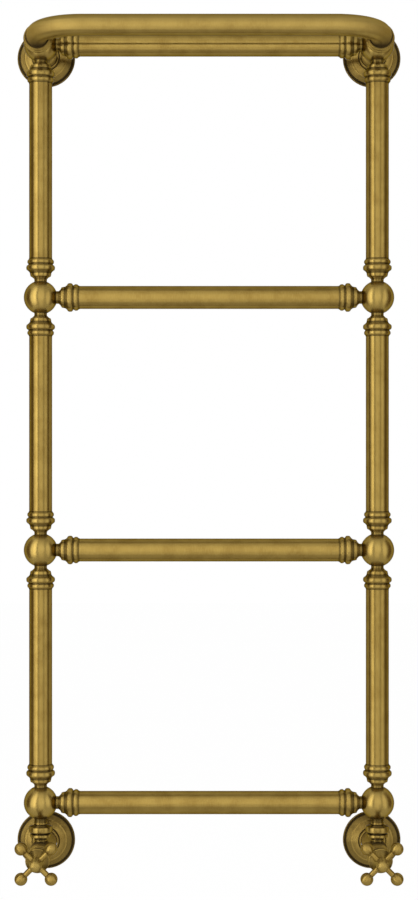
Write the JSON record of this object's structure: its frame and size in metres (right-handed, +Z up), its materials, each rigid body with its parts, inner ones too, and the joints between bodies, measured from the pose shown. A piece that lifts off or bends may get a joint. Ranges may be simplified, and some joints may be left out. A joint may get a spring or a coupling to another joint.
{
  "type": "water-heated towel rail",
  "caption": "Wall-hung water-heated towel rail of turned brass: ball-jointed uprights and cross rails, a rounded front hoop, wall rosettes and angle valves with cross handles.",
  "frame": {"origin": "on the wall plane, level with the top rail and midway between the two wall plates", "axes": "+X to the right as seen from the front, +Y into the wall, +Z up; the front faces -Y"},
  "size_m": [0.471, 0.1957, 1.031],
  "materials": {
    "antique_brass": "satin antique patina, faintly mottled",
    "plain_brass": "turned, unplated",
    "steel": "plain",
    "rubber": "matt",
    "fibre": "matt"
  },
  "bodies": {
    "rail": {"hoop_front": "antique_brass", "hoop_bend_left": "antique_brass", "hoop_bend_right": "antique_brass", "hoop_collars": "antique_brass", "standoff_collars": "antique_brass", "standoff_tubes": "antique_brass", "upper_rosettes": "antique_brass", "lower_rosettes": "antique_brass", "bottom_rail": "antique_brass", "second_rail": "antique_brass", "third_rail": "antique_brass", "top_rail": "antique_brass", "valve_bodies": "antique_brass", "union_nuts": "antique_brass", "union_tails": "antique_brass", "bonnets": "antique_brass", "ball_joints_left": "antique_brass", "upright_collars_left": "antique_brass", "rail_collars_left": "antique_brass", "lower_upright_left": "antique_brass", "middle_upright_left": "antique_brass", "upper_upright_left": "antique_brass", "ball_joints_right": "antique_brass", "upright_collars_right": "antique_brass", "rail_collars_right": "antique_brass", "lower_upright_right": "antique_brass", "middle_upright_right": "antique_brass", "upper_upright_right": "antique_brass", "wall_plates": "plain_brass", "inlet_nuts": "plain_brass", "inlet_olives": "plain_brass", "gland_nuts": "plain_brass", "air_vent_body": "plain_brass", "grub_screws": "steel", "union_washers": "fibre", "gland_packings": "fibre"},
    "left_handle": {"spindle_left": "plain_brass", "cross_handle_left": "antique_brass", "handle_screw_left": "steel", "handle_cap_left": "antique_brass"},
    "left_disc": {"disc_holder_left": "plain_brass", "disc_washer_left": "rubber"},
    "right_handle": {"spindle_right": "plain_brass", "cross_handle_right": "antique_brass", "handle_screw_right": "steel", "handle_cap_right": "antique_brass"},
    "right_disc": {"disc_holder_right": "plain_brass", "disc_washer_right": "rubber"},
    "vent_screw": {"air_vent_screw": "plain_brass"}
  },
  "joints": [
    {"name": "left_handle_turn", "type": "hinge", "parent": "rail", "child": "left_handle", "pos_m": [-0.2, -0.08, -0.96], "axis": [0, -1, 0], "range_deg": [0, 720]},
    {"name": "left_disc_slide", "type": "slide", "parent": "rail", "child": "left_disc", "axis": [0, -1, 0], "range_m": [0, 0.004]},
    {"name": "right_handle_turn", "type": "hinge", "parent": "rail", "child": "right_handle", "pos_m": [0.2, -0.08, -0.96], "axis": [0, -1, 0], "range_deg": [0, 720]},
    {"name": "right_disc_slide", "type": "slide", "parent": "rail", "child": "right_disc", "axis": [0, -1, 0], "range_m": [0, 0.004]},
    {"name": "vent_screw_turn", "type": "hinge", "parent": "rail", "child": "vent_screw", "pos_m": [-0.2, -0.08, 0], "axis": [0, 0, 1], "range_deg": [0, 180]}
  ],
  "couplings": [
    {"joint": "left_disc_slide", "follows": "left_handle_turn", "m_per_rad": 0.000318},
    {"joint": "right_disc_slide", "follows": "right_handle_turn", "m_per_rad": 0.000318}
  ]
}
